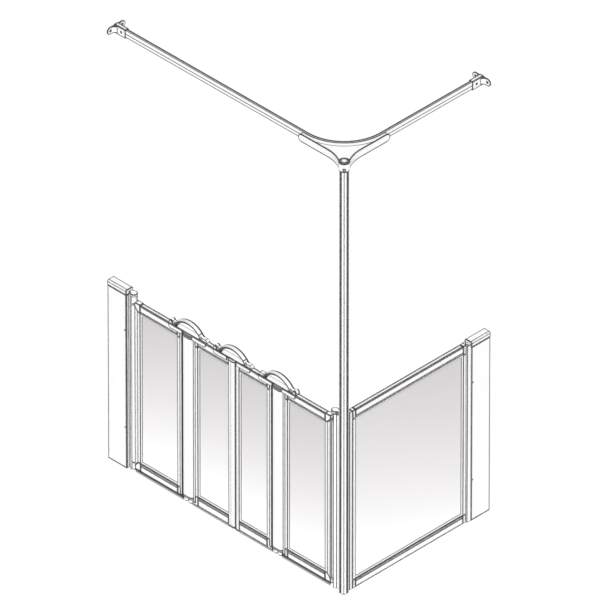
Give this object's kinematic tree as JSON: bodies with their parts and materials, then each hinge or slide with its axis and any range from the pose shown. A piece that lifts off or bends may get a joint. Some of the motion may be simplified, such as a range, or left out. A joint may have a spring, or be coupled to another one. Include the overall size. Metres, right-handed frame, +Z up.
{
  "type": "half-height shower screen",
  "caption": "Corner shower screen at half height: folding doors with lift-up handles, a fixed side panel, a tall corner post and a curtain rail braced to two walls.",
  "frame": {"origin": "foot of the corner post, on its axis, at floor level", "axes": "+Z up along the post; the doors run along -X, the fixed panel along +Y; outside is -Y and +X"},
  "size_m": [1.206, 0.7483, 1.888],
  "materials": {
    "frame_white": "white powder-coated aluminium extrusion, satin",
    "moulding_white": "white moulded plastic, fine satin grain",
    "glazing_frosted": "frosted glazing, greyer towards the top",
    "seal_grey": "grey extruded seal",
    "seal_black": "black meeting seal",
    "screw_steel": "stainless screw heads",
    "raw_aluminium": "mill finish, hidden"
  },
  "bodies": {
    "root": {"wall_channel_left": "raw_aluminium", "wall_channel_right": "raw_aluminium", "wall_cover_left": "frame_white", "wall_cover_right": "frame_white", "wall_cap_left": "moulding_white", "wall_cap_right": "moulding_white", "cover_screws": "screw_steel", "wall_hinge_profile": "frame_white", "wall_hinge_caps": "moulding_white", "post_hinge_profile": "frame_white", "post_hinge_caps": "moulding_white", "corner_post": "frame_white", "post_top_plug": "moulding_white", "post_foot": "seal_grey", "side_post_profile": "frame_white", "side_wall_profile": "frame_white", "side_stiles": "frame_white", "side_rails": "frame_white", "side_corners": "moulding_white", "side_glazing": "glazing_frosted", "side_gasket": "seal_grey", "curtain_rail": "frame_white", "corner_moulding": "moulding_white", "clamp_screw": "screw_steel", "wall_bracket_left": "moulding_white", "wall_bracket_right": "moulding_white", "bracket_screws": "screw_steel"},
    "door_1": {"door_1_stiles": "frame_white", "door_1_rails": "frame_white", "door_1_corners": "moulding_white", "door_1_glazing": "glazing_frosted", "door_1_seals": "seal_grey", "door_1_saddle": "moulding_white"},
    "door_2": {"door_2_stiles": "frame_white", "door_2_rails": "frame_white", "door_2_corners": "moulding_white", "door_2_glazing": "glazing_frosted", "door_2_seals": "seal_grey", "door_2_saddles": "moulding_white"},
    "door_3": {"door_3_stiles": "frame_white", "door_3_rails": "frame_white", "door_3_corners": "moulding_white", "door_3_glazing": "glazing_frosted", "door_3_seals": "seal_grey", "door_3_saddles": "moulding_white", "meeting_seal": "seal_black"},
    "door_4": {"door_4_stiles": "frame_white", "door_4_rails": "frame_white", "door_4_corners": "moulding_white", "door_4_glazing": "glazing_frosted", "door_4_seals": "seal_grey", "door_4_saddle": "moulding_white"},
    "link_left": {"link_left_profile": "frame_white", "link_left_caps": "moulding_white"},
    "link_right": {"link_right_profile": "frame_white", "link_right_caps": "moulding_white"},
    "handle_1": {"handle_1": "moulding_white"},
    "handle_2": {"handle_2": "moulding_white"},
    "handle_3": {"handle_3": "moulding_white"}
  },
  "joints": [
    {"name": "wall_hinge", "type": "hinge", "parent": "root", "child": "door_1", "pos_m": [-1.06715, 0, 0.38], "axis": [0, 0, -1], "range_deg": [0, 100]},
    {"name": "left_fold_outer", "type": "hinge", "parent": "door_1", "child": "link_left", "pos_m": [-0.79495, 0, 0.38], "axis": [0, 0, 1], "range_deg": [0, 85]},
    {"name": "left_fold_inner", "type": "hinge", "parent": "link_left", "child": "door_2", "pos_m": [-0.77275, 0, 0.38], "axis": [0, 0, 1], "range_deg": [0, 85]},
    {"name": "post_hinge", "type": "hinge", "parent": "root", "child": "door_4", "pos_m": [-0.04435, 0, 0.38], "axis": [0, 0, 1], "range_deg": [0, 100]},
    {"name": "right_fold_outer", "type": "hinge", "parent": "door_4", "child": "link_right", "pos_m": [-0.31655, 0, 0.38], "axis": [0, 0, -1], "range_deg": [0, 85]},
    {"name": "right_fold_inner", "type": "hinge", "parent": "link_right", "child": "door_3", "pos_m": [-0.33875, 0, 0.38], "axis": [0, 0, -1], "range_deg": [0, 85]},
    {"name": "handle_1_lift", "type": "hinge", "parent": "door_1", "child": "handle_1", "pos_m": [-0.86995, 0, 0.758], "axis": [0, -1, 0], "range_deg": [0, 70]},
    {"name": "handle_2_lift", "type": "hinge", "parent": "door_2", "child": "handle_2", "pos_m": [-0.64375, 0, 0.758], "axis": [0, -1, 0], "range_deg": [0, 70]},
    {"name": "handle_3_lift", "type": "hinge", "parent": "door_4", "child": "handle_3", "pos_m": [-0.24155, 0, 0.758], "axis": [0, 1, 0], "range_deg": [0, 70]}
  ]
}
